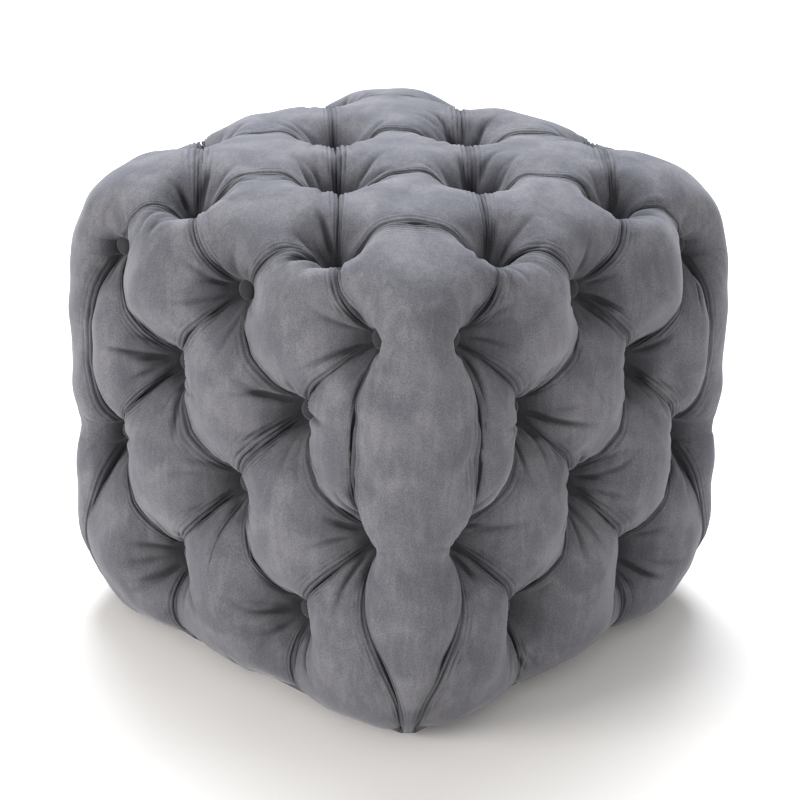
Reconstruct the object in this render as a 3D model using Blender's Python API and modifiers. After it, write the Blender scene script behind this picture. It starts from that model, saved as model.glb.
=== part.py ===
"""Cube pouf stool: a filled velvet cover, drawn in by covered buttons on its top and four sides.

The buttons lie on the faces of a plain inner box. Between them run the pleats, and between the
pleats the filling swells out to one rounded outer form, the crest. Every point of the cover is a
point between the buttons, moved outward as far as the crest, and back in by the depth of the
nearest pleats. Metres, +Z up, origin in the middle of the flat underside.
"""

import bmesh
import bpy
import numpy as np
from mathutils import Matrix, Vector

# Outer form
WIDTH = 0.500  # across the fullest part of the sides
HEIGHT = 0.447
FULLEST = 0.200  # height up to which the sides are at their full width
PLAN_SQUARENESS = 4.6  # exponent of the rounded square seen from above
TOP_SQUARENESS = 6.7  # exponent of the roll from the sides into the top
CROWN = 0.011  # how much higher the middle of the top stands than its edges
BASE_ROLL = 0.113  # radius of the roll from the sides in to the underside
BASE_ROLL_HEIGHT = 0.0958  # height of that roll's centre
BASE_SHARPENING = 3.0  # how much squarer the plan is at the underside
BASE_SHARP_HEIGHT = 0.060

# Buttons: rows on the sides by height, and columns by distance from the middle
SIDE_PLANE = 0.197  # from the axis to the plane of the side buttons
TOP_PLANE = 0.405  # height of the plane of the top buttons
ROW_HEIGHT = {"upper": 0.3765, "second": 0.2860, "third": 0.1914, "lower": 0.0914, "base": 0.0}
SIDE_COLUMN = {0: 0.0, 1: 0.0761, 2: 0.1579}
TOP_INNER = 0.0857
TOP_OUTER = 0.1736
BASE_CORNER = (0.166, 0.190)  # where the pleats beside a corner reach the underside
BUTTON_RADIUS = 0.0095
BUTTON_HEIGHT = 0.0055
BUTTON_SIDES = 12
BUTTON_PROFILE = ((0.0, 1.0), (0.76, 0.72), (1.0, 0.0), (0.0, 0.0))  # shares of radius and height
SEAT_RADIUS = 0.0132  # flat cloth under a button
GAP = 0.0003  # between a button and the cloth it is pulled into

# Pleats and filling
PLEAT_DEPTH = 0.014  # half-way between two buttons
EDGE_PLEAT_DEPTH = 0.007  # the same, where a pleat goes over the top edge
POCKET = 0.030  # how far a button draws the cloth in along a pleat
POCKET_POWER = 1.6
NECK_DEPTH = 0.004  # of the roll down each corner, between its two buttons
CORNER_BOW = 0.012  # how far the lower corner pleats bow away from the corner
PUFF = 1.5  # roundness of a puff: lower slopes further into its pleats
ROLL_PUFF = 2.3  # the same for the rolls down the corners

# Directions in which the cloth is drawn: square to each face, turning only near the edges
TURN_SIDE = 0.170
TURN_TOP = 0.378
TURN_SOFTNESS = 0.008

STEPS = 7  # mesh steps along one pleat
SAMPLES = 33  # points at which a pleat's length over the crest is measured
SEARCH_STEPS = 36
FURTHEST = 0.14  # from the inner box out to the crest, at most
WELD = 0.00001
SIDES = 4
VELVET = (0.165, 0.167, 0.185, 1.0)
BUTTON_VELVET = (0.150, 0.152, 0.170, 1.0)


# The outer form


def half_width(height):
    """Half the width of the crest at a height, below zero above the top."""
    rise = np.clip((height - FULLEST) / (HEIGHT - FULLEST), 0, 1)
    above = WIDTH / 2 * (1 - rise**TOP_SQUARENESS) ** (1 / TOP_SQUARENESS)
    drop = BASE_ROLL**2 - (BASE_ROLL_HEIGHT - height) ** 2
    below = WIDTH / 2 - BASE_ROLL + np.sqrt(np.maximum(drop, 0))
    width = np.where(height < BASE_ROLL_HEIGHT, below, above)
    return np.where(height > HEIGHT, HEIGHT - height, width)


def outside(points):
    """How far points lie outside the crest in plan, below zero inside it."""
    across = np.abs(points[..., :2]) + 1e-9
    longest = across.max(-1)
    low = np.clip(1 - points[..., 2] / BASE_SHARP_HEIGHT, 0, 1)
    power = PLAN_SQUARENESS + BASE_SHARPENING * low**2
    share = (across / longest[..., None]) ** power[..., None]
    crown = CROWN * np.prod(1 - np.minimum(2 * across / WIDTH, 1) ** 2, axis=-1)
    high = np.clip((points[..., 2] - FULLEST) / (HEIGHT - FULLEST), 0, 1)
    return longest * share.sum(-1) ** (1 / power) - half_width(points[..., 2] - crown * high)


def soft_past(value, limit):
    """How far value lies past plus or minus limit, rounded off close to it."""
    past = TURN_SOFTNESS * np.logaddexp(0, (np.abs(value) - limit) / TURN_SOFTNESS)
    return np.sign(value) * past


def outward(points):
    """The direction in which the filling swells from points on the inner box."""
    up = TURN_SOFTNESS * np.logaddexp(0, (points[..., 2] - TURN_TOP) / TURN_SOFTNESS)
    way = np.stack(
        [soft_past(points[..., 0], TURN_SIDE), soft_past(points[..., 1], TURN_SIDE), up], -1
    )
    return way / np.linalg.norm(way, axis=-1, keepdims=True)


def to_crest(points):
    """The distance from points outward to the crest."""
    way = outward(points)
    near = np.zeros(points.shape[:-1])
    far = np.full(points.shape[:-1], FURTHEST)
    for _ in range(SEARCH_STEPS):
        middle = (near + far) / 2
        beyond = outside(points + way * middle[..., None]) > 0
        far = np.where(beyond, middle, far)
        near = np.where(beyond, near, middle)
    return near


# Buttons and other places where pleats meet


class Place:
    """A point where pleats meet: a button, or an end on the underside or beside a pleat."""

    def __init__(self, x, y, z, quarter, button=True):
        for _ in range(quarter % SIDES):
            x, y = -y, x
        self.point = np.array([x, y, z], float)
        self.button = button
        self.depth = float(to_crest(self.point)) if button else 0.0


def side_place(quarter, row, column):
    """A place on the side that a quarter turn number gives, counted from the front."""
    across, plane = SIDE_COLUMN[abs(column)], SIDE_PLANE
    if row == "base" and abs(column) == 2:
        across, plane = BASE_CORNER
    across = across * np.sign(column)
    return Place(across, -plane, ROW_HEIGHT[row], quarter, button=row != "base")


def top_place(quarter, column):
    """A top button: column 0 is in the inner ring, and -1 and 1 are near the side's top edge."""
    if column == 0:
        return Place(0.0, -TOP_INNER, TOP_PLANE, quarter)
    return Place(column * TOP_INNER, -TOP_OUTER, TOP_PLANE, quarter)


def button_places():
    rows = {"upper": (0, -2, 2), "second": (-1, 1), "third": (0, -2, 2), "lower": (-1, 1)}
    for quarter in range(SIDES):
        for row, columns in rows.items():
            for column in columns:
                yield side_place(quarter, row, column)
        for column in (-1, 1, 0):
            yield top_place(quarter, column)


# The lines between them


def swell(distance, power):
    """From 0 at a pleat to 1 in the middle of a puff, as a rounded arch. distance is 0 to 1."""
    reach = np.clip(2 * np.minimum(distance, 1 - distance), 0, 1)
    return (1 - (1 - reach) ** power) ** (1 / power)


def fade(distance, size, whole):
    """From 1 at a button to 0 at the far end of its pleat."""
    end = np.exp(-((whole / size) ** POCKET_POWER))
    return (np.exp(-((distance / size) ** POCKET_POWER)) - end) / (1 - end)


class Pleat:
    """A fold drawn in between two places."""

    def __init__(self, start, end, middle_depth=PLEAT_DEPTH, bow=None):
        self.start, self.end = start, end
        self.middle_depth = middle_depth
        self.bow = np.zeros(3) if bow is None else bow
        self.shares = np.linspace(0, 1, SAMPLES)
        chord = start.point + (end.point - start.point) * self.shares[:, None]
        crest = chord + outward(chord) * to_crest(chord)[:, None]
        lengths = np.linalg.norm(np.diff(crest, axis=0), axis=1)
        self.run = np.concatenate([[0], np.cumsum(lengths)])

    def at(self, share):
        share = share[..., None]
        straight = self.start.point * (1 - share) + self.end.point * share
        return straight + self.bow * (27 / 4) * share**2 * (1 - share)

    def depth(self, share):
        passed = np.interp(share, self.shares, self.run)
        whole = self.run[-1]
        first = (self.start.depth - self.middle_depth) * fade(passed, POCKET, whole)
        last = (self.end.depth - self.middle_depth) * fade(whole - passed, POCKET, whole)
        return self.middle_depth + first + last

    def hold(self, distance, power):
        """How far the pleat holds the cloth down at a distance from it."""
        return 1 - swell(distance, power)

    def steps(self, count):
        """Shares from 0 to 1, the first and last of them on the seats of the buttons."""
        length = np.linalg.norm(self.end.point - self.start.point)
        seats = [SEAT_RADIUS / length if p.button else None for p in (self.start, self.end)]
        first = seats[0] if seats[0] else 1 / count
        last = seats[1] if seats[1] else 1 / count
        return np.concatenate([[0], np.linspace(first, 1 - last, count - 1), [1]])


class Neck(Pleat):
    """The open line across a corner, between a button on each side of it."""

    def depth(self, share):
        held = 1 - swell(share, ROLL_PUFF)
        return held * self.start.depth + (1 - held) * NECK_DEPTH

    def hold(self, distance, power):
        return np.where(distance < 0.5, 0.5 + 0.5 * np.cos(2 * np.pi * distance), 0)


class Hem(Pleat):
    """The edge of the underside, where nothing draws the cloth in."""

    def depth(self, share):
        return np.zeros_like(share)

    def hold(self, distance, power):
        return np.zeros_like(distance)


class Half:
    """The first or second half of a pleat."""

    def __init__(self, pleat, second):
        self.pleat, self.shift = pleat, 0.5 if second else 0.0
        self.hold = pleat.hold

    def at(self, share):
        return self.pleat.at(self.shift + share / 2)

    def depth(self, share):
        return self.pleat.depth(self.shift + share / 2)

    def steps(self, count):
        both = 2 * (self.pleat.steps(2 * count) - self.shift)
        return both[count:] if self.shift else both[: count + 1]


class Chain:
    """Two pleats end to end, with a button between them."""

    def __init__(self, first, second):
        self.first, self.second = first, second
        self.hold = first.hold
        self.start, self.end = first.start, second.end

    def join(self, share, name):
        early = getattr(self.first, name)(np.clip(2 * share, 0, 1))
        late = getattr(self.second, name)(np.clip(2 * share - 1, 0, 1))
        chosen = share < 0.5
        return np.where(chosen[..., None] if early.ndim > share.ndim else chosen, early, late)

    def at(self, share):
        return self.join(share, "at")

    def depth(self, share):
        return self.join(share, "depth")

    def steps(self, count):
        half = count // 2
        late = 0.5 + self.second.steps(half)[1:] / 2
        return np.concatenate([self.first.steps(half) / 2, late])


# The puffs between the lines


class Puff:
    """A filled cell between four lines: near and far run the same way, left and right join them."""

    def __init__(self, near, far, left, right, seats, power=PUFF, long=1, wide=1):
        self.near, self.far, self.left, self.right = near, far, left, right
        self.seats = seats  # (share along, share across, place) of each button on its edge
        self.power = power
        self.long, self.wide = long * STEPS, wide * STEPS

    def shares(self):
        """How far along and across the cell each mesh point lies."""
        i = np.linspace(0, 1, self.long + 1)[:, None]
        j = np.linspace(0, 1, self.wide + 1)[None, :]
        near, far = self.near.steps(self.long), self.far.steps(self.long)
        left, right = self.left.steps(self.wide), self.right.steps(self.wide)
        along = near[:, None] * (1 - j) + far[:, None] * j
        across = left[None, :] * (1 - i) + right[None, :] * i
        return along, across

    def depth(self, along, across):
        early, low = along < 0.5, across < 0.5
        hold_ends = np.where(
            early, self.left.hold(along, self.power), self.right.hold(1 - along, self.power)
        )
        hold_sides = np.where(
            low, self.near.hold(across, self.power), self.far.hold(1 - across, self.power)
        )
        ends = np.where(early, self.left.depth(across), self.right.depth(across))
        sides = np.where(low, self.near.depth(along), self.far.depth(along))
        nearest = np.where(early, 0.0, 1.0)
        corners = np.where(low, self.near.depth(nearest), self.far.depth(nearest))
        return hold_ends * ends + hold_sides * sides - hold_ends * hold_sides * corners

    def points(self):
        along, across = self.shares()
        chord = self.near.at(along) * (1 - across)[..., None]
        chord = chord + self.far.at(along) * across[..., None]
        rise = to_crest(chord)
        depth = np.clip(self.depth(along, across), 0, rise)
        points = chord + outward(chord) * (rise - depth)[..., None]
        for share_along, share_across, place in self.seats:
            self.flatten_seat(points, chord, share_along, share_across, place)
        return points

    def flatten_seat(self, points, chord, share_along, share_across, place):
        """Puts the mesh points next to a button on a flat ring round it."""
        way = outward(place.point)
        i, j = round(share_along * self.long), round(share_across * self.wide)
        inner = 1 if j == 0 else -1
        for step_i, step_j in ((-1, 0), (1, 0), (0, inner), (-1, inner), (1, inner)):
            if not 0 <= i + step_i <= self.long or not 0 <= j + step_j <= self.wide:
                continue
            if 0 < i < self.long and step_i and step_j:
                continue
            offset = chord[i + step_i, j + step_j] - place.point
            offset = offset - way * (offset @ way)
            ring = offset / np.linalg.norm(offset) * SEAT_RADIUS
            points[i + step_i, j + step_j] = place.point + ring


def four_sided(a, b, c, d, depths=(None,) * 4, **options):
    """A puff with a pleat along each side: a to b and d to c, then a to d and b to c."""
    lines = []
    for (start, end), depth in zip(((a, b), (d, c), (a, d), (b, c)), depths):
        lines.append(Pleat(start, end, PLEAT_DEPTH if depth is None else depth))
    seats = [(0, 0, a), (1, 0, b), (1, 1, c), (0, 1, d)]
    return Puff(*lines, seats, **options)


def top_puffs(quarter):
    """The puffs of a quarter of the top, and those that go over its edge."""
    left, right = top_place(quarter, -1), top_place(quarter, 1)
    inner, next_inner = top_place(quarter, 0), top_place(quarter + 1, 0)
    next_left = top_place(quarter + 1, -1)
    upper = {column: side_place(quarter, "upper", column) for column in (-2, 0, 2)}
    corner = side_place(quarter + 1, "upper", -2)
    edge = EDGE_PLEAT_DEPTH
    yield four_sided(left, upper[0], right, inner, (edge, None, None, edge))
    yield four_sided(inner, right, next_left, next_inner)
    for sign, outer in ((-1, left), (1, right)):
        second = side_place(quarter, "second", sign)
        yield four_sided(outer, upper[2 * sign], second, upper[0], (edge, None, edge, None))
    yield Puff(
        Pleat(right, upper[2], edge),
        Pleat(next_left, corner, edge),
        Pleat(right, next_left),
        Neck(upper[2], corner),
        [(0, 0, right), (1, 0, upper[2]), (1, 1, corner), (0, 1, next_left)],
    )


def side_puffs(quarter):
    """The puffs of one side, between its upper buttons and the underside."""

    def place(row, column):
        return side_place(quarter, row, column)

    middle = place("third", 0)
    yield four_sided(place("upper", 0), place("second", 1), middle, place("second", -1))
    for sign in (-1, 1):
        upper, second, third, lower = (
            place(row, sign * column)
            for row, column in (("upper", 2), ("second", 1), ("third", 2), ("lower", 1))
        )
        yield four_sided(second, third, lower, middle)
        beside_roll = Pleat(upper, third)
        yield Puff(
            Pleat(upper, second),
            Half(beside_roll, second=True),
            Half(beside_roll, second=False),
            Pleat(second, third),
            [(0, 0, upper), (1, 0, second), (1, 1, third)],
        )
        yield Puff(
            corner_pleat(quarter, sign),
            Pleat(lower, place("base", sign)),
            Pleat(third, lower),
            Hem(place("base", 2 * sign), place("base", sign)),
            [(0, 0, third), (0, 1, lower)],
        )
    left, right = place("lower", -1), place("lower", 1)
    yield Puff(
        Chain(Pleat(left, middle), Pleat(middle, right)),
        Chain(
            Hem(place("base", -1), place("base", 0)), Hem(place("base", 0), place("base", 1))
        ),
        Pleat(left, place("base", -1)),
        Pleat(right, place("base", 1)),
        [(0, 0, left), (0.5, 0, middle), (1, 0, right)],
        long=2,
    )


def corner_pleat(quarter, sign):
    """The lower pleat beside a corner roll, bowed towards the middle of its side."""
    bow = Place(-sign * CORNER_BOW, 0.0, 0.0, quarter, button=False).point
    return Pleat(
        side_place(quarter, "third", 2 * sign), side_place(quarter, "base", 2 * sign), bow=bow
    )


def corner_rolls(quarter):
    """The two lengths of the roll down the corner after a side."""
    here = {row: side_place(quarter, row, 2) for row in ("upper", "third", "base")}
    past = {row: side_place(quarter + 1, row, -2) for row in ("upper", "third", "base")}
    yield Puff(
        Pleat(here["upper"], here["third"]),
        Pleat(past["upper"], past["third"]),
        Neck(here["upper"], past["upper"]),
        Neck(here["third"], past["third"]),
        [
            (0, 0, here["upper"]),
            (1, 0, here["third"]),
            (1, 1, past["third"]),
            (0, 1, past["upper"]),
        ],
        power=ROLL_PUFF,
        long=2,
    )
    yield Puff(
        corner_pleat(quarter, 1),
        corner_pleat(quarter + 1, -1),
        Neck(here["third"], past["third"]),
        Hem(here["base"], past["base"]),
        [(0, 0, here["third"]), (0, 1, past["third"])],
        power=ROLL_PUFF,
    )


def all_puffs():
    yield four_sided(*(top_place(quarter, 0) for quarter in range(SIDES)))
    for quarter in range(SIDES):
        yield from top_puffs(quarter)
        yield from side_puffs(quarter)
        yield from corner_rolls(quarter)


# Objects


def velvet(name, colour):
    material = bpy.data.materials.new(name)
    material.use_nodes = True
    shader = material.node_tree.nodes["Principled BSDF"]
    shader.inputs["Base Color"].default_value = colour
    shader.inputs["Roughness"].default_value = 0.9
    shader.inputs["Metallic"].default_value = 0.0
    return material


def add_object(name, mesh, material, collection):
    mesh.materials.append(material)
    thing = bpy.data.objects.new(name, mesh)
    collection.objects.link(thing)
    return thing


def cover_mesh():
    """Every puff as a grid laid over its cell, welded along the pleats and closed underneath."""
    bm = bmesh.new()
    for puff in all_puffs():
        points = puff.points()
        made = bmesh.ops.create_grid(
            bm, x_segments=puff.long, y_segments=puff.wide, size=0.5
        )
        for vertex in made["verts"]:
            i = round((vertex.co.x + 0.5) * puff.long)
            j = round((vertex.co.y + 0.5) * puff.wide)
            vertex.co = points[i, j]
    bmesh.ops.remove_doubles(bm, verts=bm.verts, dist=WELD)
    hem = [edge for edge in bm.edges if edge.is_boundary]
    for vertex in {vertex for edge in hem for vertex in edge.verts}:
        vertex.co.z = 0.0
    underside = bmesh.ops.holes_fill(bm, edges=hem, sides=0)["faces"]
    bmesh.ops.poke(bm, faces=underside)
    bmesh.ops.recalc_face_normals(bm, faces=bm.faces)
    mesh = bpy.data.meshes.new("cover")
    bm.to_mesh(mesh)
    bm.free()
    mesh.shade_smooth()
    return mesh


def button_profile():
    """The domed outline of a covered button, from its crown down to its back."""
    mesh = bpy.data.meshes.new("button_profile")
    corners = [(r * BUTTON_RADIUS, 0, h * BUTTON_HEIGHT) for r, h in BUTTON_PROFILE]
    edges = [(i, i + 1) for i in range(len(corners) - 1)]
    mesh.from_pydata(corners, edges, [])
    return mesh


def add_button(number, place, profile, material, collection):
    thing = add_object(f"button_{number:02d}", profile.copy(), material, collection)
    turned = thing.modifiers.new("turned", "SCREW")
    turned.steps = turned.render_steps = BUTTON_SIDES
    turned.use_merge_vertices = True
    turned.merge_threshold = WELD
    turned.use_smooth_shade = True
    way = Vector(outward(place.point))
    seat = Vector(place.point) + way * GAP
    upright = way.to_track_quat("Z", "Y").to_matrix().to_4x4()
    thing.matrix_world = Matrix.Translation(seat) @ upright


def main():
    for thing in list(bpy.data.objects):
        bpy.data.objects.remove(thing)
    pouf = bpy.data.collections.new("Cube pouf stool")
    bpy.context.scene.collection.children.link(pouf)
    add_object("cover", cover_mesh(), velvet("Cover velvet", VELVET), pouf)
    profile = button_profile()
    cloth = velvet("Button velvet", BUTTON_VELVET)
    for number, place in enumerate(button_places(), start=1):
        add_button(number, place, profile, cloth, pouf)
    bpy.data.meshes.remove(profile)


main()
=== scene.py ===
"""Looks of the cube pouf stool: a velvet cover drawn in by covered buttons.

The cover is laid out as the part's own solid is. The buttons lie on the faces of an inner box, the
pleats run between them, and every point of the cloth is a point between the buttons, moved outward
to the full outer form and back in by the pockets, the pleats and the creases. Metres, +Z up.
"""

import math

import bmesh
import bpy
import numpy as np
from mathutils import Matrix, Vector


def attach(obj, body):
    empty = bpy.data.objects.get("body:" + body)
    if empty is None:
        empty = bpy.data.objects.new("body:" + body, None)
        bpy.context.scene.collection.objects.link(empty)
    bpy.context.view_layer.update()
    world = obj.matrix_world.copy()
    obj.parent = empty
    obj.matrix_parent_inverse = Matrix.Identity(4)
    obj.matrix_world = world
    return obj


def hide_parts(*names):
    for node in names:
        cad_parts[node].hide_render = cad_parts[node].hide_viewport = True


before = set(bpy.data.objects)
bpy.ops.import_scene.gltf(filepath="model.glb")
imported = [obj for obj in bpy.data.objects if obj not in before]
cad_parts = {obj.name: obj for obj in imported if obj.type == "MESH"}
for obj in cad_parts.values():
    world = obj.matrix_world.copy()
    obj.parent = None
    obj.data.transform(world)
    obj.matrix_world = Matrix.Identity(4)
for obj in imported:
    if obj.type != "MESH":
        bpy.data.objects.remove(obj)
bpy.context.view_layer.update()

# The outer form, as in the part
WIDTH = 0.500
HEIGHT = 0.447
FULLEST = 0.200
PLAN_SQUARENESS = 4.6
TOP_SQUARENESS = 6.7
CROWN = 0.011  # how much higher the middle of the top stands than its edges
BASE_ROLL = 0.113
BASE_ROLL_HEIGHT = 0.0958
BASE_SHARPENING = 3.0
BASE_SHARP_HEIGHT = 0.060

# Where the buttons sit, as in the part
SIDE_PLANE = 0.197
TOP_PLANE = 0.405
ROW_HEIGHT = {"upper": 0.3765, "second": 0.2860, "third": 0.1914, "lower": 0.0914, "base": 0.0}
SIDE_COLUMN = {0: 0.0, 1: 0.0761, 2: 0.1579}
TOP_INNER = 0.0857
TOP_OUTER = 0.1736
BASE_CORNER = (0.1775, 0.1865)  # nearer to the corner than in the part
TURN_SIDE = 0.170
TURN_TOP = 0.378
TURN_SOFTNESS = 0.008
SIDES = 4
FURTHEST = 0.14
SEARCH_STEPS = 30

# How the cloth is drawn in
SEAT = 0.0110  # radius of the cloth that lies flat under a button
SIDE_POCKET = 0.082  # how far from a button the cloth starts to go down to it, on the sides
TOP_POCKET = 0.055  # the same on the top, where the pockets are narrower
POCKET_CURVE = 2.4  # how suddenly it goes down
LOBE = 0.28  # how much fuller a puff is than the pleats beside it, at a pocket
LOBE_START = 0.032  # from the edge of a button's seat to where that is so
# How deep the cloth dips to a pleat, half-way along it: falling pleats go down to the right
SIDE_VALLEYS = (
    {"falling": 0.020, "rising": 0.011, "upright": 0.014},
    {"falling": 0.016, "rising": 0.020, "upright": 0.014},
)
UPRIGHT_WITHIN = 0.01  # how far across an upright pleat may run
TOP_VALLEY = 0.003
EDGE_VALLEY = 0.007  # the pleats that go over the edge of the top
ROLL_VALLEY = 0.008  # the pleats beside the corner rolls
CREASE = 0.0028  # how deep the pleat itself is cut in
CREASE_WIDTH = 0.0022
NECK_DEPTH = 0.001  # how far a corner roll is drawn in at its necks
NECK_REACH = 0.024  # along a corner roll, from its neck
NECK_BULGE = 0.06  # how far a neck swells over the buttons on both sides of it
ROLL_FOOT = 0.30  # how deep a corner roll starts, as a share of the depth of the buttons
NECK_FOOT = 0.75  # the same at a neck
CORNER_BOW = 0.016  # how far the lower pleats beside a corner roll bow towards it
ROLL_PUFF = 2.3  # 2 is a round arch, and more is a fuller one
ROLL_TAUT = 0.85  # how much fainter the fans of creases are on a corner roll
STEPS = 70  # mesh steps along one pleat
COARSE = 5  # steps of the finished mesh for one step of the simulated cloth
GATHERING = 0.70  # how much closer the mesh lines lie at the pleats

# Small folds beside the pleats and in fans from the buttons
FOLD = 0.0023  # how deep the folds beside a pleat are
FOLD_SPACING = 0.0042
FOLD_REACH = 0.0085  # how far from the pleat they fade
FOLD_EDGE = 0.006  # how near another pleat they end
FOLD_FLATTEST = 0.4  # how deep they are at the ends of a pleat, as a share
FOLD_CLOSEST = 0.35  # how far apart they are there, as a share
FOLD_SPACINGS = (0.85, 1.25)  # the least and the most of each, as a share, by chance
FOLD_REACHES = (0.6, 1.3)
FOLD_DEPTHS = (0.6, 1.1)
FOLD_RIDGE = 1.2  # how much of a fold lies below the cloth beside it
FOLD_ROUNDNESS = 0.8  # below 1 the bottoms are sharp
FAN = 0.0040  # how deep the deepest creases from a button are
FAN_FOLDS = 22  # from each button
FAN_START = 0.012
FAN_RISE = 0.008  # how far they take to reach their full depth
FAN_END = 0.076
FAN_FADE = 0.65  # the share of its length over which a crease runs out
FAN_WIDTH = 0.0010
FAN_SPREAD = 0.035  # how much wider they get with distance
FAN_SCATTER = 0.42  # radians, about the four ways between the pleats
FAN_CURL = 9.0  # radians per metre
FAN_LENGTHS = (0.4, 1.0)  # as shares, by chance
FAN_DEPTHS = (0.3, 1.0)
FINEST = 1.3  # the narrowest crease that the mesh can show, in mesh steps
UNEVEN = 0.0007  # how high the filling's own dimples and swellings are
UNEVEN_WAVES = 14
UNEVEN_LENGTHS = (0.03, 0.08)
FLAT_SEAT_EDGE = 0.018  # how far from a button's seat the small folds reach their full depth
FLAT_HEM_EDGE = 0.01  # the same above the floor
FOLD_SHADE = 560.0  # painted shade at the bottoms of the small folds and creases, per metre of their depth
DARKEST_DEPTH = 0.054  # how far below the full form the painted shade is darkest
SHADE_CURVE = 1.7  # how suddenly the painted shade darkens towards that depth
SEED = 7

# How the cloth is simulated
HELD = 0.0130  # radius of the cloth that each button holds still
HELD_HEM = 0.004  # height of the cloth that the floor holds still
FRAMES = 20
PRESSURE = 5.0
EASE = 0.02  # how much wider than the laid-out form the cloth is cut
FURTHEST_MOVE = 0.010
ROLL_HOLD = 0.95  # how much less the corner rolls swell than the rest
ROLL_WIDTH = 0.045  # how far inward from a corner that is so
MOUTH = 0.030  # how far from a button's edge the swelling is held back, so its pocket stays open


# The outer form


def half_width(height):
    """Half the width of the full form at a height, below zero above the top."""
    rise = np.clip((height - FULLEST) / (HEIGHT - FULLEST), 0, 1)
    above = WIDTH / 2 * (1 - rise**TOP_SQUARENESS) ** (1 / TOP_SQUARENESS)
    drop = BASE_ROLL**2 - (BASE_ROLL_HEIGHT - height) ** 2
    below = WIDTH / 2 - BASE_ROLL + np.sqrt(np.maximum(drop, 0))
    width = np.where(height < BASE_ROLL_HEIGHT, below, above)
    return np.where(height > HEIGHT, HEIGHT - height, width)


def outside(points):
    """How far points lie outside the full form in plan, below zero inside it."""
    across = np.abs(points[..., :2]) + 1e-9
    longest = across.max(-1)
    low = np.clip(1 - points[..., 2] / BASE_SHARP_HEIGHT, 0, 1)
    power = PLAN_SQUARENESS + BASE_SHARPENING * low**2
    share = (across / longest[..., None]) ** power[..., None]
    dome = CROWN * np.prod(1 - np.minimum(2 * across / WIDTH, 1) ** 2, axis=-1)
    high = np.clip((points[..., 2] - FULLEST) / (HEIGHT - FULLEST), 0, 1)
    return longest * share.sum(-1) ** (1 / power) - half_width(points[..., 2] - dome * high)


def soft_past(value, limit):
    past = TURN_SOFTNESS * np.logaddexp(0, (np.abs(value) - limit) / TURN_SOFTNESS)
    return np.sign(value) * past


def outward(points):
    """The direction in which the filling swells from points on the inner box."""
    up = TURN_SOFTNESS * np.logaddexp(0, (points[..., 2] - TURN_TOP) / TURN_SOFTNESS)
    way = np.stack(
        [soft_past(points[..., 0], TURN_SIDE), soft_past(points[..., 1], TURN_SIDE), up], -1
    )
    return way / np.linalg.norm(way, axis=-1, keepdims=True)


def to_crest(points, way):
    """The distance from points to the full form, in the direction way."""
    near = np.zeros(points.shape[:-1])
    far = np.full(points.shape[:-1], FURTHEST)
    for _ in range(SEARCH_STEPS):
        middle = (near + far) / 2
        beyond = outside(points + way * middle[..., None]) > 0
        far = np.where(beyond, middle, far)
        near = np.where(beyond, near, middle)
    return near


def smooth(share):
    share = np.clip(share, 0, 1)
    return share * share * (3 - 2 * share)


def neck(points):
    """1 where buttons on both sides draw a corner roll in, 0 away from there."""
    aside = np.abs(points[..., :2]) - (SIDE_PLANE + SIDE_COLUMN[2]) / 2
    drawn = np.zeros(points.shape[:-1])
    for row in (ROW_HEIGHT["upper"], ROW_HEIGHT["third"]):
        distance = (aside**2).sum(-1) + (points[..., 2] - row) ** 2
        drawn = drawn + np.exp(-distance / NECK_REACH**2)
    return drawn


# Buttons


def turned(x, y, z, quarter):
    for _ in range(quarter % SIDES):
        x, y = -y, x
    return np.array([x, y, z], float)


def side_place(quarter, row, column):
    """A point on a side's inner plane, on the side that a quarter turn number gives."""
    across, plane = SIDE_COLUMN[abs(column)], SIDE_PLANE
    if row == "base" and abs(column) == 2:
        across, plane = BASE_CORNER
    return turned(across * np.sign(column), -plane, ROW_HEIGHT[row], quarter)


def top_place(quarter, column):
    if column == 0:
        return turned(0.0, -TOP_INNER, TOP_PLANE, quarter)
    return turned(column * TOP_INNER, -TOP_OUTER, TOP_PLANE, quarter)


def button_places():
    rows = {"upper": (0, -2, 2), "second": (-1, 1), "third": (0, -2, 2), "lower": (-1, 1)}
    places = []
    for quarter in range(SIDES):
        for row, columns in rows.items():
            places += [side_place(quarter, row, column) for column in columns]
        places += [top_place(quarter, column) for column in (-1, 1, 0)]
    return np.array(places)


BUTTON_RADIUS = 0.0097
BUTTON_HEIGHT = 0.0058
BUTTON_UNDER = 0.22  # how far a button reaches below its widest line, as a share of its height
BUTTON_DOME = 1.35  # 1 is a ball's dome, and more is a flatter one
BUTTON_SEGMENTS = 24
BUTTON_RINGS = 14
BUTTON_UNEVEN = 0.06  # how much smaller the smallest is
BUTTON_GAP = 0.0003  # over the cloth under it
ON_TOP = 0.5  # a button that points further up than this is one of the top's
NEARLY_UP = 0.7  # and one that does not point this far up has a level direction to its right
BUTTONS = button_places()
BUTTON_WAYS = outward(BUTTONS)
BUTTON_DEPTHS = to_crest(BUTTONS, BUTTON_WAYS)
BUTTON_CRESTS = BUTTONS + BUTTON_WAYS * BUTTON_DEPTHS[:, None]
BUTTON_REACHES = np.where(BUTTON_WAYS[:, 2] > ON_TOP, TOP_POCKET, SIDE_POCKET)


def pocket(crests):
    """How far the buttons draw the cloth in, from 0 to 1, under points on the full form."""
    drawn = np.zeros(crests.shape[:-1])
    for over, reach in zip(BUTTON_CRESTS, BUTTON_REACHES):
        distance = np.linalg.norm(crests - over, axis=-1)
        left = np.clip((reach - distance) / (reach - SEAT), 0, 1)
        drawn = np.maximum(drawn, left**POCKET_CURVE)
    return drawn


def to_button(points):
    """The distance from points to the middle of the nearest button."""
    return np.min([np.linalg.norm(points - button, axis=-1) for button in BUTTONS], axis=0)


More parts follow.
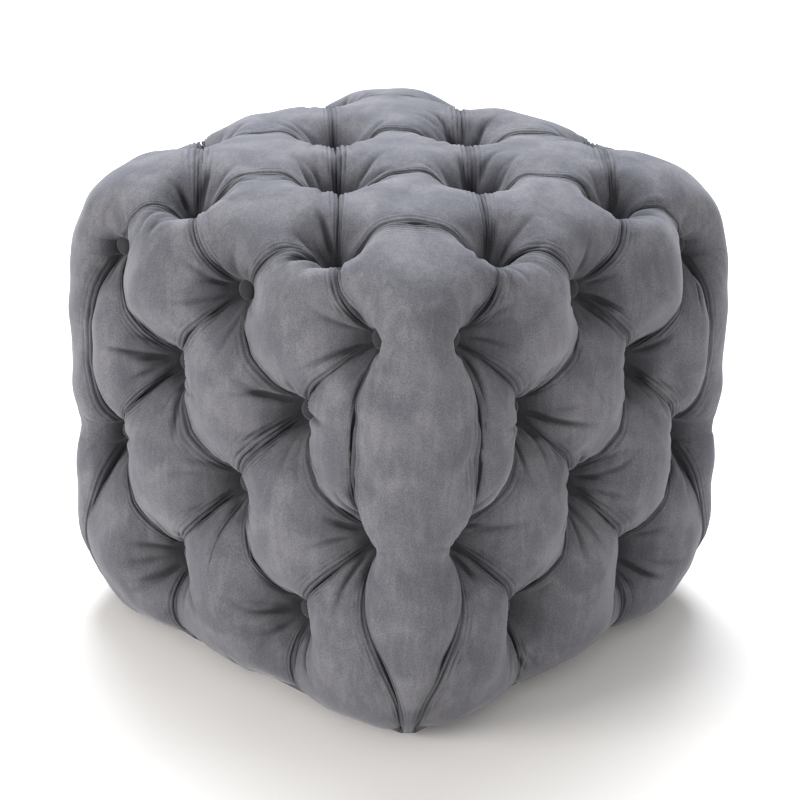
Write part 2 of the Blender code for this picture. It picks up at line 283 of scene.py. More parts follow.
def fans(crests, spacing, random):
    """How deep the creases are that run out from the buttons, on a mesh with that spacing."""
    depth = np.zeros(len(crests))
    for over, way in zip(BUTTON_CRESTS, BUTTON_WAYS):
        reach = np.linalg.norm(crests - over, axis=-1)
        near = np.nonzero(reach < FAN_END)[0]
        reach, arm = reach[near], crests[near] - over
        right = np.array([1.0, 0.0, 0.0])
        if abs(way[2]) < NEARLY_UP:
            right = np.cross((0.0, 0.0, 1.0), way)
        right = right / np.linalg.norm(right)
        turn = np.arctan2(arm @ np.cross(way, right), arm @ right)
        thin = FAN_WIDTH + FAN_SPREAD * reach
        width = np.maximum(thin, FINEST * spacing[near])
        for _ in range(FAN_FOLDS):
            start = np.pi / 2 * (random.integers(4) + 0.5) + random.normal(0, FAN_SCATTER)
            curl = random.uniform(-FAN_CURL, FAN_CURL)
            end, deep = FAN_END * random.uniform(*FAN_LENGTHS), FAN * random.uniform(*FAN_DEPTHS)
            off = (turn - start - curl * reach + np.pi) % (2 * np.pi) - np.pi
            aside = (off * reach / width) ** 2
            shown = smooth((reach - FAN_START) / FAN_RISE) * smooth((end - reach) / (FAN_FADE * end))
            depth[near] += deep * shown * (1 - aside) * np.exp(-aside / 2) * thin / width
    return depth


def unevenness(points, random):
    """Low, wide dimples and swellings all over the filling."""
    ways = random.normal(size=(UNEVEN_WAVES, 3))
    ways = ways / np.linalg.norm(ways, axis=-1, keepdims=True)
    lengths = random.uniform(*UNEVEN_LENGTHS, UNEVEN_WAVES)
    turns = points @ (2 * np.pi * ways / lengths[:, None]).T
    turns = turns + random.uniform(0, 2 * np.pi, UNEVEN_WAVES)
    return UNEVEN * np.cos(turns).sum(-1) / math.sqrt(UNEVEN_WAVES / 2)


# Lines between the buttons


def gathered(count):
    """Shares from 0 to 1, closer together at both ends."""
    even = np.linspace(0, 1, count + 1)
    return even - GATHERING * np.sin(2 * np.pi * even) / (2 * np.pi)


class Pleat:
    """A pleat between two places. valley is how deep the cloth dips to it, and cut its own depth."""

    folded = 1.0

    def __init__(self, start, end, valley, cut=CREASE, bow=(0.0, 0.0, 0.0)):
        self.start, self.end = start, end
        self.valley, self.cut = valley, cut
        self.bow = np.array(bow)  # how far it stands off the straight line, at most

    def at(self, share):
        share = share[..., None]
        straight = self.start * (1 - share) + self.end * share
        # The bow starts in line with the pleat, and is fullest two thirds of the way along
        return straight + self.bow * (27 / 4) * share**2 * (1 - share)

    def dip(self, share):
        return np.full(share.shape, self.valley)

    def crease(self, share):
        return np.full(share.shape, self.cut)

    def whole(self, share):
        """The depth of the cloth on the line, as a share of its distance to the full form."""
        points = self.at(share)
        rise = to_crest(points, outward(points))
        drawn = pocket(points + outward(points) * rise[..., None])
        return drawn + (1 - drawn) * np.clip((self.dip(share) + self.crease(share)) / rise, 0, 1)

    def place(self, share):
        """Where the cloth lies on the line."""
        points = self.at(share)
        way = outward(points)
        return points + way * (to_crest(points, way) * (1 - self.whole(share)))[..., None]

    def steps(self, count):
        return gathered(count)

    def fall(self, distance):
        """How much of the line's depth is left at a distance of 0 to 1 across the cell."""
        reach = np.clip(2 * distance, 0, 1)
        return (1 - reach) ** 2


class CornerPleat(Pleat):
    """A pleat that starts straight down and then runs out to the corner."""

    def at(self, share):
        points = super().at(share)
        ease = (share * (1 - share))[..., None] * (self.end - self.start)
        points[..., :2] -= ease[..., :2]
        return points


class Open(Pleat):
    """A line where nothing draws the cloth in: across a roll's neck, or along the hem."""

    folded = 0.0

    def __init__(self, start, end):
        super().__init__(start, end, valley=0.0, cut=0.0)

    def fall(self, distance):
        return np.zeros(distance.shape)


class Joined:
    """A line made from other lines. Its part method looks their values up."""

    def at(self, share):
        return self.part("at", share)

    def dip(self, share):
        return self.part("dip", share)

    def crease(self, share):
        return self.part("crease", share)


class Half(Joined):
    """The first or second half of a pleat."""

    def __init__(self, pleat, second):
        self.pleat, self.shift = pleat, 0.5 if second else 0.0
        self.fall, self.folded = pleat.fall, pleat.folded

    def part(self, name, share):
        return getattr(self.pleat, name)(self.shift + share / 2)

    def steps(self, count):
        both = 2 * (self.pleat.steps(2 * count) - self.shift)
        return both[count:] if self.shift else both[: count + 1]


class Chain(Joined):
    """Two lines end to end, with a button between them."""

    def __init__(self, first, second):
        self.first, self.second = first, second
        self.fall, self.folded = first.fall, first.folded

    def part(self, name, share):
        early = getattr(self.first, name)(np.clip(2 * share, 0, 1))
        late = getattr(self.second, name)(np.clip(2 * share - 1, 0, 1))
        chosen = share < 0.5
        return np.where(chosen[..., None] if early.ndim > share.ndim else chosen, early, late)

    def steps(self, count):
        half = gathered(count // 2) / 2
        return np.concatenate([half, 0.5 + half[1:]])


# Cells of cloth between the lines


def arc(points, axis):
    """Distance over a grid of points along one of its axes, from its first line."""
    steps = np.linalg.norm(np.diff(points, axis=axis), axis=-1)
    start = np.zeros_like(np.take(steps, [0], axis=axis))
    return np.concatenate([start, np.cumsum(steps, axis=axis)], axis=axis)


class Cell:
    """Cloth between four lines: near and far run the same way, left and right join them."""

    def __init__(self, near, far, left, right, firm=0.0, long=1):
        self.near, self.far, self.left, self.right = near, far, left, right
        self.firm = firm  # 1 where the cloth is a tight roll, or a function of the share along
        self.long, self.wide = long * STEPS, STEPS

    def lay(self):
        i = np.linspace(0, 1, self.long + 1)[:, None]
        j = np.linspace(0, 1, self.wide + 1)[None, :]
        near, far = self.near.steps(self.long), self.far.steps(self.long)
        left, right = self.left.steps(self.wide), self.right.steps(self.wide)
        self.along = near[:, None] * (1 - j) + far[:, None] * j
        self.across = left[None, :] * (1 - i) + right[None, :] * i
        chord = self.near.at(self.along) * (1 - self.across)[..., None]
        self.chord = chord + self.far.at(self.along) * self.across[..., None]
        self.way = outward(self.chord)
        self.rise = to_crest(self.chord, self.way)
        self.crest = self.chord + self.way * self.rise[..., None]
        length, breadth = arc(self.crest, 0), arc(self.crest, 1)
        self.gaps = {
            "left": length,
            "right": length[-1:] - length,
            "near": breadth,
            "far": breadth[:, -1:] - breadth,
        }

    def dip(self):
        """How deep the cloth dips towards the cell's four lines."""
        along, across = self.along, self.across
        early, low = along < 0.5, across < 0.5
        ends = np.where(early, self.left.fall(along), self.right.fall(1 - along))
        sides = np.where(low, self.near.fall(across), self.far.fall(1 - across))
        at_ends = np.where(early, self.left.dip(across), self.right.dip(across))
        at_sides = np.where(low, self.near.dip(along), self.far.dip(along))
        nearest = np.where(early, 0.0, 1.0)
        corners = np.where(low, self.near.dip(nearest), self.far.dip(nearest))
        return ends * at_ends + sides * at_sides - ends * sides * corners

    def depth(self):
        self.creased = np.zeros(self.rise.shape)
        for name, gap in self.gaps.items():
            share = self.across if name in ("left", "right") else self.along
            self.creased += getattr(self, name).crease(share) * np.exp(-gap / CREASE_WIDTH)
        depth = self.dip() + self.creased
        along = np.minimum(self.along, 1 - self.along)
        across = np.minimum(self.across, 1 - self.across)
        turn = across / (along + across + 1e-9)
        lobe = LOBE * smooth((to_button(self.chord) - SEAT) / LOBE_START)
        drawn = pocket(self.crest) * (1 - lobe * 4 * turn * (1 - turn))
        return np.clip(drawn * self.rise + (1 - drawn) * depth, 0, self.rise)

    def roll(self):
        """A tight roll that stands between the near and the far pleat."""
        shares = self.along[:, 0]
        chords = np.stack([line.at(shares) for line in (self.near, self.far)])
        places = np.stack([line.place(shares) for line in (self.near, self.far)])
        drawn = neck(chords.mean(0))
        foot = ROLL_FOOT + (NECK_FOOT - ROLL_FOOT) * drawn
        ways = outward(chords)
        feet = chords + ways * (to_crest(chords, ways) * (1 - foot))[..., None]
        middle, way = feet.mean(0), outward(chords.mean(0))
        high = to_crest(middle, way) - NECK_DEPTH * drawn
        # The cloth lies flat under the buttons, then stands up from the edges of their seats
        nearest = to_button(places[0])
        span = np.linalg.norm(places[1] - places[0], axis=-1)
        flat = np.sqrt(np.maximum(SEAT**2 - nearest**2, 0)) / span
        turn = np.pi * np.clip((self.across - flat[:, None]) / (1 - 2 * flat[:, None]), 0, 1)
        up = np.clip(np.sin(turn), 0, 1)[..., None] ** (2 / ROLL_PUFF)
        side = -np.sign(np.cos(turn)) * np.abs(np.cos(turn)) ** (2 / ROLL_PUFF)
        side = side[..., None] * (1 + NECK_BULGE * drawn[:, None, None] * up)
        half = (feet[1] - feet[0])[:, None] / 2
        arch = middle[:, None] + half * side + way[:, None] * high[:, None, None] * up
        start = np.where(turn[..., None] < np.pi / 2, 0.0, 1.0)
        lying = np.minimum(np.abs(self.across[..., None] - start), flat[:, None, None])
        lying = start + (1 - 2 * start) * lying
        true = places[0][:, None] * (1 - lying) + places[1][:, None] * lying
        arch_foot = middle[:, None] + half * (2 * start - 1)
        return arch + (true - arch_foot) * (1 - up) ** 3

    def points(self):
        self.lay()
        points = self.chord + self.way * (self.rise - self.depth())[..., None]
        firm = self.firmness()[..., None]
        return points * (1 - firm) + self.roll() * firm if firm.any() else points

    def firmness(self):
        firm = self.firm(self.along) if callable(self.firm) else self.firm
        return firm * np.ones(self.rise.shape)

    def loose(self):
        """Less than 1 where the cloth is drawn tight and shows fewer small creases."""
        return 1 - ROLL_TAUT * self.firmness()

    def folds(self, random):
        """How deep the small folds are that run beside the cell's pleats."""
        depth = np.zeros(self.rise.shape)
        for name, gap in self.gaps.items():
            share = self.across if name in ("left", "right") else self.along
            middle = np.sin(np.pi * np.clip(share, 0, 1))
            spread = FOLD_CLOSEST + (1 - FOLD_CLOSEST) * middle
            apart = gap / (spread * random.uniform(*FOLD_SPACINGS))
            reach = FOLD_REACH * random.uniform(*FOLD_REACHES)
            deep = FOLD * random.uniform(*FOLD_DEPTHS)
            ends = deep * getattr(self, name).folded * (FOLD_FLATTEST + (1 - FOLD_FLATTEST) * middle)
            for other, far in self.gaps.items():
                if other != name:
                    ends = ends * smooth(far / FOLD_EDGE)
            wave = np.abs(np.sin(np.pi * apart / FOLD_SPACING)) ** FOLD_ROUNDNESS
            wave = FOLD_RIDGE - 2 * wave
            depth = depth + ends * wave * np.exp(-apart / reach)
        return depth


def four_sided(a, b, c, d, pleat):
    """The cell between the places a, b, c and d. pleat makes the line between two of them."""
    return Cell(pleat(a, b), pleat(d, c), pleat(a, d), pleat(b, c))


def top_pleat(start, end):
    """A pleat from a top button. It is on the edge if it goes down to the side."""
    falls = start[2] != end[2]
    return Pleat(start, end, EDGE_VALLEY if falls else TOP_VALLEY)


def side_pleat(quarter, start, end):
    """A pleat on one side, between two places. Seen from outside, across is to the right."""
    right = turned(1.0, 0.0, 0.0, quarter)
    across, up = (end - start) @ right, (end - start)[2]
    leaning = "falling" if across * up < 0 else "rising"
    slant = "upright" if abs(across) < UPRIGHT_WITHIN else leaning
    return Pleat(start, end, SIDE_VALLEYS[quarter % 2][slant])


def to_roll(along):
    """From soft at a top button to firm at the corner's neck."""
    return smooth(along)


def top_cells(quarter):
    left, right = top_place(quarter, -1), top_place(quarter, 1)
    inner, next_inner = top_place(quarter, 0), top_place(quarter + 1, 0)
    next_left = top_place(quarter + 1, -1)
    upper = {column: side_place(quarter, "upper", column) for column in (-2, 0, 2)}
    corner = side_place(quarter + 1, "upper", -2)
    yield four_sided(left, upper[0], right, inner, top_pleat)
    yield four_sided(inner, right, next_left, next_inner, top_pleat)
    for sign, outer in ((-1, left), (1, right)):
        second = side_place(quarter, "second", sign)
        yield Cell(
            top_pleat(outer, upper[2 * sign]),
            side_pleat(quarter, upper[0], second),
            top_pleat(outer, upper[0]),
            side_pleat(quarter, upper[2 * sign], second),
        )
    yield Cell(
        top_pleat(right, upper[2]),
        top_pleat(next_left, corner),
        top_pleat(right, next_left),
        Open(upper[2], corner),
        firm=to_roll,
    )


def side_cells(quarter):
    def place(row, column):
        return side_place(quarter, row, column)

    def pleat(start, end):
        return side_pleat(quarter, start, end)

    middle = place("third", 0)
    top, left, right = place("upper", 0), place("second", -1), place("second", 1)
    yield four_sided(top, right, middle, left, pleat)
    for sign in (-1, 1):
        upper, second, third, lower = (
            place(row, sign * column)
            for row, column in (("upper", 2), ("second", 1), ("third", 2), ("lower", 1))
        )
        yield four_sided(second, third, lower, middle, pleat)
        beside_roll = Pleat(upper, third, ROLL_VALLEY)
        yield Cell(
            pleat(upper, second),
            Half(beside_roll, second=True),
            Half(beside_roll, second=False),
            pleat(second, third),
        )
        yield Cell(
            corner_pleat(quarter, sign),
            pleat(lower, place("base", sign)),
            pleat(third, lower),
            Open(place("base", 2 * sign), place("base", sign)),
        )
    left, right = place("lower", -1), place("lower", 1)
    yield Cell(
        Chain(pleat(left, middle), pleat(middle, right)),
        Chain(
            Open(place("base", -1), place("base", 0)), Open(place("base", 0), place("base", 1))
        ),
        pleat(left, place("base", -1)),
        pleat(right, place("base", 1)),
        long=2,
    )


def corner_pleat(quarter, sign):
    """The lower pleat beside a corner roll. It bows towards the roll."""
    bow = turned(sign * CORNER_BOW, 0.0, 0.0, quarter)
    ends = (side_place(quarter, "third", 2 * sign), side_place(quarter, "base", 2 * sign))
    return CornerPleat(*ends, ROLL_VALLEY, bow=bow)


def corner_cells(quarter):
    here = {row: side_place(quarter, row, 2) for row in ("upper", "third", "base")}
    past = {row: side_place(quarter + 1, row, -2) for row in ("upper", "third", "base")}
    yield Cell(
        Pleat(here["upper"], here["third"], ROLL_VALLEY),
        Pleat(past["upper"], past["third"], ROLL_VALLEY),
        Open(here["upper"], past["upper"]),
        Open(here["third"], past["third"]),
        firm=1.0,
        long=2,
    )
    yield Cell(
        corner_pleat(quarter, 1),
        corner_pleat(quarter + 1, -1),
        Open(here["third"], past["third"]),
        Open(here["base"], past["base"]),
        firm=1.0,
    )


def all_cells():
    yield four_sided(*(top_place(quarter, 0) for quarter in range(SIDES)), top_pleat)
    for quarter in range(SIDES):
        yield from top_cells(quarter)
        yield from side_cells(quarter)
        yield from corner_cells(quarter)


# Meshes


def surface(grids, keys, ways):
    """One surface from grids of points: its points, its faces and each grid's point numbers.

    Points of two grids are one point where their keys are the same.
    """
    flat = np.concatenate([grid.reshape(-1, 3) for grid in grids])
    rounded = np.round(np.concatenate([key.reshape(-1, 3) for key in keys]) * 1e5)
    index = np.unique(rounded.astype(np.int64), axis=0, return_inverse=True)[1].reshape(-1)
    count = np.bincount(index)
    points = np.stack([np.bincount(index, flat[:, k]) / count for k in range(3)], -1)
    numbers, faces, start = [], [], 0
    for grid, way in zip(grids, ways):
        rows, columns = grid.shape[:2]
        number = index[start : start + rows * columns].reshape(rows, columns)
        corners = (number[:-1, :-1], number[1:, :-1], number[1:, 1:], number[:-1, 1:])
        quads = np.stack(corners, -1).reshape(-1, 4)
        a, b, c, _ = points[quads].transpose(1, 0, 2)
        facing = (np.cross(b - a, c - b) * way[:-1, :-1].reshape(-1, 3)).sum()
        numbers.append(number)
        faces.append(quads if facing > 0 else quads[:, ::-1])
        start += rows * columns
    return points, np.concatenate(faces), numbers


def finer(values):
    """Values on every line of a grid, on a smooth curve through those on its coarse lines."""
    before, after = 2 * values[:1] - values[1:2], 2 * values[-1:] - values[-2:-1]
    row = np.concatenate([before, values, after])
    a, b, c, d = row[:-3], row[1:-2], row[2:-1], row[3:]
    between = []
    for step in range(COARSE):
        t = step / COARSE
        bend = (2 * a - 5 * b + 4 * c - d) * t**2 + (3 * b - a - 3 * c + d) * t**3
        between.append(b + ((c - a) * t + bend) / 2)
    stacked = np.stack(between, 1).reshape(-1, *values.shape[1:])
    return np.concatenate([stacked, values[-1:]])


def swollen(points, faces):
    """The points of the cover after the filling has pressed it out between its buttons."""
    mesh = mesh_from("cloth", points, faces)
    cloth = bpy.data.objects.new("cloth", mesh)
    bpy.context.scene.collection.objects.link(cloth)
    nearest = to_button(points)
    held = cloth.vertex_groups.new(name="held")
    fixed = (nearest < HELD) | (points[:, 2] < HELD_HEM)
    held.add(np.nonzero(fixed)[0].tolist(), 1.0, "REPLACE")
    modifier = cloth.modifiers.new("cloth", "CLOTH")
    modifier.collision_settings.use_collision = False
    modifier.point_cache.frame_start, modifier.point_cache.frame_end = 1, FRAMES
    fabric = modifier.settings
    fabric.quality = 3
    fabric.mass = 0.05
    fabric.tension_stiffness = 20
    fabric.compression_stiffness = 5
    fabric.shear_stiffness = 2
    fabric.bending_stiffness = 0.02
    fabric.vertex_group_mass = held.name
    fabric.use_pressure = True
    fabric.uniform_pressure_force = PRESSURE
    fabric.shrink_min = -EASE
    fabric.effector_weights.gravity = 0
    for number in range(1, FRAMES + 1):
        bpy.context.scene.frame_set(number)
    made = cloth.evaluated_get(bpy.context.evaluated_depsgraph_get()).data
    after = np.empty(points.size)
    made.vertices.foreach_get("co", after)
    bpy.context.scene.frame_set(1)
    bpy.data.objects.remove(cloth)
    move = after.reshape(-1, 3) - points
    length = np.linalg.norm(move, axis=-1, keepdims=True) + 1e-9
    inward = (WIDTH - np.abs(points[:, :2]).sum(-1)) / math.sqrt(2)
    eased = 1 - ROLL_HOLD * np.exp(-((inward / ROLL_WIDTH) ** 2))
    eased = eased * smooth((nearest - HELD) / MOUTH)
    return points + move / length * FURTHEST_MOVE * np.tanh(length / FURTHEST_MOVE) * eased[:, None]


def normals(points, faces):
    a, b, c, d = points[faces].transpose(1, 0, 2)
    facing = np.cross(c - a, d - b)
    total = np.zeros(points.shape)
    for corner in range(4):
        for k in range(3):
            total[:, k] += np.bincount(faces[:, corner], facing[:, k], len(points))
    return total / np.linalg.norm(total, axis=-1, keepdims=True)


def mesh_steps(points, faces):
    """The longest of the mesh steps at each point."""
    longest = np.zeros(len(points))
    for first, second in ((0, 1), (1, 2), (2, 3), (3, 0)):
        a, b = faces[:, first], faces[:, second]
        length = np.linalg.norm(points[a] - points[b], axis=-1)
        np.maximum.at(longest, a, length)
        np.maximum.at(longest, b, length)
    return longest


def press_out(grids, keys, ways):
    """Move grids of points as the simulated cloth moves."""
    rough = [[grid[::COARSE, ::COARSE] for grid in made] for made in (grids, keys, ways)]
    points, faces, numbers = surface(*rough)
    moves = swollen(points, faces) - points
    for grid, number in zip(grids, numbers):
        grid += finer(finer(moves[number]).swapaxes(0, 1)).swapaxes(0, 1)


def cover_surface():
    """The cover's points and faces, and the painted shade of each point."""
    random = np.random.default_rng(SEED)
    cells = list(all_cells())
    grids = [cell.points() for cell in cells]
    keys = [cell.chord for cell in cells]
    ways = [cell.way for cell in cells]
    press_out(grids, keys, ways)
    points, faces, numbers = surface(grids, keys, ways)
    folds, crests = np.zeros(len(points)), np.zeros(points.shape)
    creased, loose = np.zeros(len(points)), np.ones(len(points))
    for cell, number in zip(cells, numbers):
        folds[number] = cell.folds(random)
        creased[number] = cell.creased
        loose[number] = np.minimum(loose[number], cell.loose())
        crests[number] = cell.crest
    spacing = mesh_steps(points, faces)
    folds += fans(crests, spacing, random) * loose
    free = smooth(points[:, 2] / FLAT_HEM_EDGE)
    free *= smooth((to_button(points) - SEAT) / FLAT_SEAT_EDGE)
    folds *= free
    # Painted shade: darker the deeper the cloth lies below the full form, and at the bottoms of
    # folds and creases
    sunk = to_crest(points, outward(points)) / DARKEST_DEPTH
    shade = sunk**SHADE_CURVE + FOLD_SHADE * (np.maximum(folds, 0) + creased)
    folds += unevenness(points, random) * free
    return points - normals(points, faces) * folds[:, None], faces, shade


def mesh_from(name, points, faces):
    mesh = bpy.data.meshes.new(name)
    mesh.from_pydata(points, [], faces.tolist())
    mesh.shade_smooth()
    return mesh


def make_cover():
    points, faces, shade = cover_surface()
    mesh = mesh_from("velvet_cover", points, faces)
    # The painted shade goes to the material through this attribute
    mesh.attributes.new("shade", "FLOAT", "POINT").data.foreach_set("value", shade)
    bm = bmesh.new()
    bm.from_mesh(mesh)
    hem = [edge for edge in bm.edges if edge.is_boundary]
    for vertex in {vertex for edge in hem for vertex in edge.verts}:
        vertex.co.z = 0.0
    underside = bmesh.ops.holes_fill(bm, edges=hem, sides=0)["faces"]
    bmesh.ops.poke(bm, faces=underside)
    bmesh.ops.recalc_face_normals(bm, faces=bm.faces)
    bm.to_mesh(mesh)
    bm.free()
    mesh.shade_smooth()
    cover = bpy.data.objects.new("velvet_cover", mesh)
    bpy.context.scene.collection.objects.link(cover)
    return cover


# Materials

STROKE_SIZE = 0.05  # of the patches that are brushed one way
STREAK_SCALE = (7.0, 7.0, 1.2)  # against the patches, along each axis
STREAK_TURN = (0.5, 0.4, 0.3)
STROKE_NOISE = (1.0, 3.0, 0.6)  # scale, detail and distortion
PATCH_EDGES = (0.33, 0.67)  # where each pattern starts and is full
STREAK_EDGES = (0.40, 0.66)
SPECKLE_EDGES = (0.3, 0.7)
SPECKLE_SCALE = 900.0  # per metre
PATCH_SHARE = 0.32  # how much each pattern counts towards the ruffled colour
STREAK_SHARE = 0.12
SPECKLE_SHARE = 0.32
STREAK_HEIGHT = 0.10  # against the height of the speckle
BUMP_STRENGTH = 0.35
BUMP_HEIGHT = 0.0006
SHADE_SHARE = 0.82  # how much of the velvet's own colour gives way to the painted shade colour where the painted shade is deepest
# The colour of the painted shade in the pockets, folds and creases
PAINTED_SHADE_COLOUR = (0.012, 0.012, 0.014, 1.0)
COVER_SMOOTHED = (0.092, 0.093, 0.108, 1.0)
COVER_RUFFLED = (0.208, 0.203, 0.217, 1.0)
# The buttons are covered in the same velvet; their colours are darkened as painted shade of the
# pockets they sit in
BUTTON_SHADED_SMOOTHED = (0.032, 0.032, 0.036, 1.0)
BUTTON_SHADED_RUFFLED = (0.052, 0.051, 0.057, 1.0)


class Nodes:
    """A node tree that is written line by line."""

    def __init__(self, tree):
        self.tree = tree

    def add(self, kind, **inputs):
        settings = inputs.pop("settings", {})
        node = self.tree.nodes.new(kind)
        for name, setting in settings.items():
            setattr(node, name, setting)
        for name, given in inputs.items():
            socket = node.inputs[int(name[1:]) if name[1:].isdigit() else name.replace("_", " ")]
            if isinstance(given, bpy.types.NodeSocket):
                self.tree.links.new(given, socket)
            else:
                socket.default_value = given
        return node

    def maths(self, operation, a, b=0.0):
        node = self.add("ShaderNodeMath", settings={"operation": operation}, _0=a, _1=b)
        return node.outputs[0]

    def noise(self, vector, scale, detail=2.0, distortion=0.0):
        node = self.add(
            "ShaderNodeTexNoise", Vector=vector, Scale=scale, Detail=detail, Distortion=distortion
        )
        return node.outputs["Fac"]

    def between(self, value, low, high):
        """0 below low, 1 above high."""
        settings = {"interpolation_type": "SMOOTHSTEP"}
        node = self.add(
            "ShaderNodeMapRange", settings=settings, Value=value, From_Min=low, From_Max=high
        )
        return node.outputs["Result"]

    def mix(self, share, a, b):
        settings = {"data_type": "RGBA"}
        node = self.add("ShaderNodeMix", settings=settings, _0=share, _6=a, _7=b)
        return node.outputs[2]


def brushed_nap():
    """Velvet's pile, stroked different ways: its colour, darkened by the painted shade it is given,
    and its small heights.
    """
    group = bpy.data.node_groups.new("brushed nap", "ShaderNodeTree")
    for name, kind in (
        ("Smoothed Colour", "NodeSocketColor"),
        ("Ruffled Colour", "NodeSocketColor"),
        ("Stroke Size", "NodeSocketFloat"),
        ("Painted Shade", "NodeSocketFloat"),
    ):
        group.interface.new_socket(name, in_out="INPUT", socket_type=kind)
    for name, kind in (("Colour", "NodeSocketColor"), ("Height", "NodeSocketFloat")):
        group.interface.new_socket(name, in_out="OUTPUT", socket_type=kind)
    nodes = Nodes(group)
    given = nodes.add("NodeGroupInput").outputs
    place = nodes.add("ShaderNodeTexCoord").outputs["Object"]
    inverse = nodes.maths("DIVIDE", 1.0, given["Stroke Size"])
    sized = nodes.add("ShaderNodeVectorMath", settings={"operation": "SCALE"}, _0=place)
    nodes.tree.links.new(inverse, sized.inputs["Scale"])
    place_in_strokes = sized.outputs["Vector"]
    patches = nodes.between(nodes.noise(place_in_strokes, *STROKE_NOISE), *PATCH_EDGES)
    stretched = nodes.add(
        "ShaderNodeMapping", Vector=place_in_strokes, Rotation=STREAK_TURN, Scale=STREAK_SCALE
    ).outputs["Vector"]
    streaks = nodes.between(nodes.noise(stretched, *STROKE_NOISE), *STREAK_EDGES)
    grain = nodes.noise(place, SPECKLE_SCALE, 1.0)
    speckle = nodes.between(grain, *SPECKLE_EDGES)
    tone = nodes.maths("MULTIPLY", patches, PATCH_SHARE)
    tone = nodes.maths("ADD", tone, nodes.maths("MULTIPLY", streaks, STREAK_SHARE))
    tone = nodes.maths("ADD", tone, nodes.maths("MULTIPLY", speckle, SPECKLE_SHARE))
    colour = nodes.mix(
        nodes.between(tone, 0.0, 1.0), given["Smoothed Colour"], given["Ruffled Colour"]
    )
    # Painted shade: the colour darkens towards the painted shade colour in the pockets, folds and
    # creases
    shaded = nodes.maths("MINIMUM", nodes.maths("MAXIMUM", given["Painted Shade"], 0.0), 1.0)
    colour = nodes.mix(nodes.maths("MULTIPLY", shaded, SHADE_SHARE), colour, PAINTED_SHADE_COLOUR)
    height = nodes.maths("ADD", grain, nodes.maths("MULTIPLY", streaks, STREAK_HEIGHT))
    nodes.add("NodeGroupOutput", Colour=colour, Height=height)
    return group


def velvet(name, nap, smoothed, ruffled):
    material = bpy.data.materials.new(name)
    material.use_nodes = True
    nodes = Nodes(material.node_tree)
    shader = material.node_tree.nodes["Principled BSDF"]
    pile = nodes.add("ShaderNodeGroup", settings={"node_tree": nap})
    pile.inputs["Smoothed Colour"].default_value = smoothed
    pile.inputs["Ruffled Colour"].default_value = ruffled
    pile.inputs["Stroke Size"].default_value = STROKE_SIZE
    # The cover's painted shade, read from its points; the buttons carry none
    folded = nodes.add("ShaderNodeAttribute", settings={"attribute_name": "shade"})
    nodes.tree.links.new(folded.outputs["Fac"], pile.inputs["Painted Shade"])
    bump = nodes.add(
        "ShaderNodeBump",
        Strength=BUMP_STRENGTH,
        Distance=BUMP_HEIGHT,
        Height=pile.outputs["Height"],
    )
    nodes.tree.links.new(pile.outputs["Colour"], shader.inputs["Base Color"])
    nodes.tree.links.new(bump.outputs["Normal"], shader.inputs["Normal"])
    shader.inputs["Roughness"].default_value = 0.9
    shader.inputs["Specular IOR Level"].default_value = 0.15
    shader.inputs["Sheen Weight"].default_value = 0.32
    shader.inputs["Sheen Roughness"].default_value = 0.42
    shader.inputs["Sheen Tint"].default_value = (0.86, 0.88, 0.95, 1.0)
    return material


# Buttons


def button_tree(material):
    """Covered buttons: one domed form on each point, standing along the point's own direction."""
    tree = bpy.data.node_groups.new("covered buttons", "GeometryNodeTree")
    tree.interface.new_socket("Geometry", in_out="INPUT", socket_type="NodeSocketGeometry")
    for name in ("Radius", "Height", "Uneven"):
        tree.interface.new_socket(name, in_out="INPUT", socket_type="NodeSocketFloat")
    tree.interface.new_socket("Geometry", in_out="OUTPUT", socket_type="NodeSocketGeometry")
    nodes = Nodes(tree)
    given = nodes.add("NodeGroupInput").outputs
    ball = nodes.add(
        "GeometryNodeMeshUVSphere", Segments=BUTTON_SEGMENTS, Rings=BUTTON_RINGS, Radius=1.0
    )
    where = nodes.add("ShaderNodeSeparateXYZ", _0=nodes.add("GeometryNodeInputPosition").outputs[0])
    domed = nodes.maths("POWER", nodes.maths("ABSOLUTE", where.outputs["Z"]), BUTTON_DOME)
    rise = nodes.maths("MULTIPLY", domed, nodes.maths("SIGN", where.outputs["Z"]))
    top = nodes.maths("MULTIPLY", nodes.maths("MAXIMUM", rise, -BUTTON_UNDER), given["Height"])
    flat = [nodes.maths("MULTIPLY", where.outputs[axis], given["Radius"]) for axis in "XY"]
    place = nodes.add("ShaderNodeCombineXYZ", X=flat[0], Y=flat[1], Z=top)
    dome = nodes.add(
        "GeometryNodeSetPosition", Geometry=ball.outputs["Mesh"], Position=place.outputs[0]
    )
    smooth_dome = nodes.add("GeometryNodeSetShadeSmooth", Geometry=dome.outputs[0])
    way = nodes.add(
        "GeometryNodeInputNamedAttribute", settings={"data_type": "FLOAT_VECTOR"}, Name="way"
    )
    turn = nodes.add(
        "FunctionNodeAlignRotationToVector",
        settings={"axis": "Z"},
        Vector=way.outputs["Attribute"],
    )
    size = nodes.add("FunctionNodeRandomValue", settings={"data_type": "FLOAT"}, Seed=SEED)
    size.inputs[2].default_value, size.inputs[3].default_value = 0.0, 1.0
    scale = nodes.maths("SUBTRACT", 1.0, nodes.maths("MULTIPLY", size.outputs[1], given["Uneven"]))
    copies = nodes.add(
        "GeometryNodeInstanceOnPoints",
        Points=given["Geometry"],
        Instance=smooth_dome.outputs[0],
        Rotation=turn.outputs[0],
        Scale=scale,
    )
    real = nodes.add("GeometryNodeRealizeInstances", Geometry=copies.outputs[0])
    dressed = nodes.add("GeometryNodeSetMaterial", Geometry=real.outputs[0], Material=material)
    nodes.add("NodeGroupOutput", Geometry=dressed.outputs[0])
    return tree


